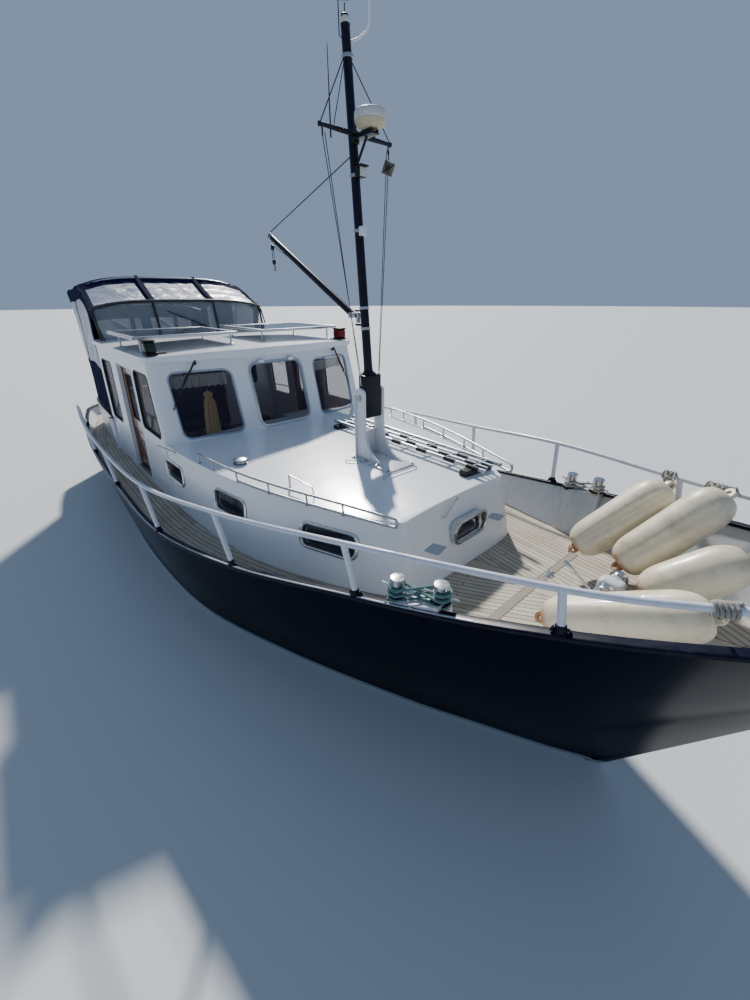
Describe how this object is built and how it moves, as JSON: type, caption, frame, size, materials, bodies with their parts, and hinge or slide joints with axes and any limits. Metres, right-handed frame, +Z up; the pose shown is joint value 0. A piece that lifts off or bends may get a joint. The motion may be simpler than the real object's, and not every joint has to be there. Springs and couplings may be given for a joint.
{
  "type": "fishing trawler",
  "caption": "Small steel trawler with a raised wheelhouse, low coachroof, canvas aft canopy, lowering mast with a derrick boom, sliding doors, rudder and propeller.",
  "frame": {"origin": "amidships, on the centreline at the waterline", "axes": "+X forward towards the bow, +Y to port, +Z up"},
  "size_m": [11.5202, 3.85, 6.14],
  "materials": {
    "hull_paint": "gloss navy enamel over steel plate, pale grey boot line",
    "bulwark_paint": "satin light grey on the inner bulwarks, navy outside",
    "capping_paint": "gloss navy, rubbed bright along the starboard edge",
    "house_paint": "semi-gloss white, lightly weathered",
    "rail_paint": "satin white",
    "antifouling": "matt dark red",
    "teak": "weathered grey planks with dark seams",
    "varnish": "varnished brown",
    "sole_wood": "satin, worn",
    "seat_vinyl": "satin",
    "window_glass": "clear, slightly tinted",
    "clear_sheet": "clear flexible sheet, slightly creased",
    "bronze": "cast bronze",
    "stainless": "polished stainless tube",
    "alloy": "satin aluminium",
    "panel_glass": "solar glass under an aluminium frame",
    "mast_paint": "semi-gloss navy",
    "mast_fittings": "semi-gloss white",
    "radome_shell": "semi-gloss white",
    "light_box": "dark green housing",
    "light_box_port": "dark red housing",
    "fender_vinyl": "cream, slightly dirty",
    "canvas": "navy acrylic canvas",
    "screen_frame": "satin black"
  },
  "bodies": {
    "hull": {"hull": "hull_paint", "bulwark_port": "bulwark_paint", "bulwark_starboard": "bulwark_paint", "capping_port": "capping_paint", "capping_starboard": "capping_paint", "deck_planking": "teak", "keel_bar": "antifouling", "coachroof": "house_paint", "wheelhouse_front": "house_paint", "front_glass_starboard": "window_glass", "front_glass_centre": "window_glass", "front_glass_port": "window_glass", "wheelhouse_side_port": "house_paint", "wheelhouse_side_starboard": "house_paint", "side_glass_fwd_port": "window_glass", "side_glass_fwd_starboard": "window_glass", "side_glass_aft_port": "window_glass", "side_glass_aft_starboard": "window_glass", "wheelhouse_aft": "house_paint", "wheelhouse_roof": "house_paint", "wheelhouse_sole": "sole_wood", "dash": "varnish", "helm_seat": "seat_vinyl", "solar_panel_port": "panel_glass", "solar_panel_starboard": "panel_glass", "side_light_port": "light_box_port", "side_light_starboard": "light_box", "tabernacle": "mast_fittings", "guard_rail_port": "rail_paint", "guard_rail_starboard": "rail_paint", "bollards_port": "capping_paint", "bollards_starboard": "capping_paint", "windlass": "mast_fittings", "handrail_port": "stainless", "handrail_starboard": "stainless", "gangway": "alloy", "fender_1": "fender_vinyl", "fender_2": "fender_vinyl", "fender_3": "fender_vinyl", "fender_4": "fender_vinyl", "aft_coaming": "house_paint", "canopy_top": "canvas", "canopy_side_port": "canvas", "canopy_side_starboard": "canvas", "canopy_back": "canvas", "windscreen_frame": "screen_frame", "windscreen_glass": "clear_sheet"},
    "propeller": {"propeller": "bronze", "propeller_shaft": "stainless"},
    "rudder": {"rudder": "antifouling"},
    "steering_wheel": {"steering_wheel": "varnish"},
    "mast": {"mast": "mast_paint", "yard": "mast_paint", "radome": "radome_shell"},
    "gooseneck": {"gooseneck": "stainless"},
    "boom": {"boom": "mast_paint"},
    "door_port": {"door_port": "varnish"},
    "door_starboard": {"door_starboard": "varnish"},
    "door_aft": {"door_aft": "varnish"}
  },
  "joints": [
    {"name": "propeller_spin", "type": "hinge", "parent": "hull", "child": "propeller", "pos_m": [-4.52, 0, -0.64], "axis": [1, 0, 0], "continuous": true},
    {"name": "rudder_turn", "type": "hinge", "parent": "hull", "child": "rudder", "pos_m": [-4.96, 0, -0.6], "axis": [0, 0, 1], "range_deg": [-35, 35]},
    {"name": "wheel_turn", "type": "hinge", "parent": "hull", "child": "steering_wheel", "pos_m": [-0.5, -0.62, 1.54], "axis": [0.9397, 0, -0.342], "range_deg": [-525, 525]},
    {"name": "mast_lower", "type": "hinge", "parent": "hull", "child": "mast", "pos_m": [1.98, 0, 2.36], "axis": [0, 1, 0], "range_deg": [0, 90]},
    {"name": "boom_slew", "type": "hinge", "parent": "mast", "child": "gooseneck", "pos_m": [1.828, 0, 3.03], "axis": [0, 0, 1], "range_deg": [-70, 70]},
    {"name": "boom_luff", "type": "hinge", "parent": "gooseneck", "child": "boom", "pos_m": [1.758, 0, 3.05], "axis": [0, 1, 0], "range_deg": [-27, 45]},
    {"name": "door_port_slide", "type": "slide", "parent": "hull", "child": "door_port", "axis": [-1, 0, 0], "range_m": [0, 0.7]},
    {"name": "door_starboard_slide", "type": "slide", "parent": "hull", "child": "door_starboard", "axis": [-1, 0, 0], "range_m": [0, 0.7]},
    {"name": "door_aft_swing", "type": "hinge", "parent": "hull", "child": "door_aft", "pos_m": [-2.652, 0.45, 1.7], "axis": [0, 0, -1], "range_deg": [0, 95]}
  ],
  "couplings": [
    {"joint": "wheel_turn", "follows": "rudder_turn", "ratio": 15}
  ]
}
